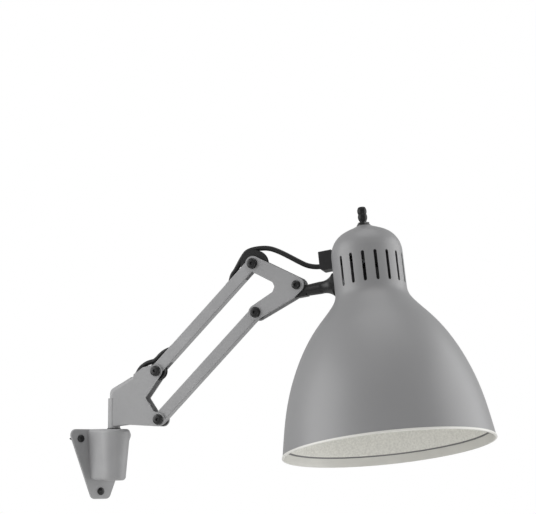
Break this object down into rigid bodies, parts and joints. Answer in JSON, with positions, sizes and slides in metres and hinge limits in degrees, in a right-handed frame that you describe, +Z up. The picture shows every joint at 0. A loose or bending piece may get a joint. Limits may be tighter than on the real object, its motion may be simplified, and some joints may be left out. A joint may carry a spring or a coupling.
{
  "type": "articulating wall lamp",
  "caption": "Wall lamp on a swivelling parallelogram arm, with a slotted bell shade that tilts and turns on its neck and a rotary switch on top.",
  "frame": {"origin": "middle of the wall plate's back face, on the wall", "axes": "+Z up, +Y into the wall, so the lamp reaches out towards -Y; +X to the right as seen from in front of the wall looking at it"},
  "size_m": [0.3761, 0.5535, 0.3868],
  "materials": {
    "grey_steel": "satin grey paint on steel",
    "grey_casting": "satin grey paint on aluminium",
    "shade_grey": "satin grey paint on spun aluminium",
    "rim_white": "satin white paint",
    "shade_white": "matt white paint on spun aluminium",
    "black_steel": "black satin",
    "black_casting": "black satin paint",
    "black_plastic": "satin",
    "black_bush": "matt",
    "white_plastic": "satin",
    "plain_steel": "bright",
    "brass": "satin",
    "black_rubber": "matt",
    "cable_sheath": "satin",
    "lead_sheath": "matt"
  },
  "bodies": {
    "wall_mount": {"wall_plate": "grey_steel", "wall_screws": "black_steel", "swivel_socket": "grey_casting", "socket_screws": "plain_steel", "upper_post_bush": "black_bush", "lower_post_bush": "black_bush", "cable_bracket": "cable_sheath"},
    "turret": {"swivel_post": "grey_steel", "post_circlip": "plain_steel", "base_fork": "grey_steel", "fork_spacer": "grey_steel", "base_pivot_bolts": "black_steel", "base_pivot_nuts": "black_steel", "base_washers": "black_bush", "cable_fork": "cable_sheath"},
    "upper_arm": {"upper_bar": "grey_casting", "upper_bar_bushes": "brass", "bar_grommets": "black_rubber", "cable_roller": "black_plastic", "cable_bar": "cable_sheath"},
    "lower_arm": {"lower_bar": "grey_casting", "lower_bar_bushes": "brass"},
    "elbow": {"elbow_plate_near": "grey_steel", "elbow_plate_far": "grey_steel", "elbow_pivot_bolts": "black_steel", "elbow_pivot_nuts": "black_steel", "elbow_washers": "black_bush", "cable_saddle": "black_plastic", "saddle_pin": "grey_steel", "head_pivot_bolt": "black_steel", "head_pivot_nut": "black_steel", "cable_elbow": "cable_sheath"},
    "neck": {"knuckle": "black_casting", "knuckle_washers": "black_bush", "neck_bolt": "plain_steel", "cable_neck": "cable_sheath"},
    "head": {"neck_trumpet": "black_casting", "neck_saddle": "plain_steel", "wave_washer": "plain_steel", "shade_shell": "shade_grey", "shade_rim": "rim_white", "reflector": "shade_white", "reflector_ring": "black_plastic", "hanger": "plain_steel", "nipple": "plain_steel", "nipple_nuts": "plain_steel", "holder_cap": "black_plastic", "holder_skirt": "black_plastic", "holder_insulator": "white_plastic", "bulb_sleeve": "brass", "centre_contact": "brass", "holder_leads": "lead_sheath", "switch_body": "black_plastic", "switch_nut": "black_steel", "strain_relief": "black_plastic", "relief_nut": "black_plastic", "cable_head": "cable_sheath"},
    "knob": {"switch_stem": "plain_steel", "switch_knob": "black_plastic"}
  },
  "joints": [
    {"name": "swivel", "type": "hinge", "parent": "wall_mount", "child": "turret", "pos_m": [0, -0.036, 0.048], "axis": [0, 0, 1], "range_deg": [-97, 33]},
    {"name": "lift", "type": "hinge", "parent": "turret", "child": "upper_arm", "pos_m": [0.03519, -0.09231, 0.1263], "axis": [-0.848, -0.5299, 0], "range_deg": [-75, 27], "deforming": ["cable_fork"]},
    {"name": "lower_lift", "type": "hinge", "parent": "turret", "child": "lower_arm", "pos_m": [0.03763, -0.09621, 0.06046], "axis": [-0.848, -0.5299, 0], "range_deg": [-75, 27]},
    {"name": "elbow", "type": "hinge", "parent": "upper_arm", "child": "elbow", "pos_m": [0.11013, -0.21224, 0.26772], "axis": [-0.848, -0.5299, 0], "range_deg": [-27, 75], "deforming": ["cable_elbow"]},
    {"name": "head_tilt", "type": "hinge", "parent": "elbow", "child": "neck", "pos_m": [0.1433, -0.26533, 0.23652], "axis": [-0.848, -0.5299, 0], "range_deg": [-30, 50], "deforming": ["cable_neck"]},
    {"name": "head_roll", "type": "hinge", "parent": "neck", "child": "head", "pos_m": [0.19572, -0.34922, 0.24211], "axis": [0.5244, -0.8392, 0.1438], "range_deg": [-50, 40], "deforming": ["cable_head"]},
    {"name": "switch", "type": "hinge", "parent": "head", "child": "knob", "pos_m": [0.19572, -0.34922, 0.24211], "axis": [0.0203, 0.1812, 0.9832], "range_deg": [0, 90]}
  ],
  "couplings": [
    {"joint": "lower_lift", "follows": "lift", "ratio": 1},
    {"joint": "elbow", "follows": "lift", "ratio": -1}
  ]
}
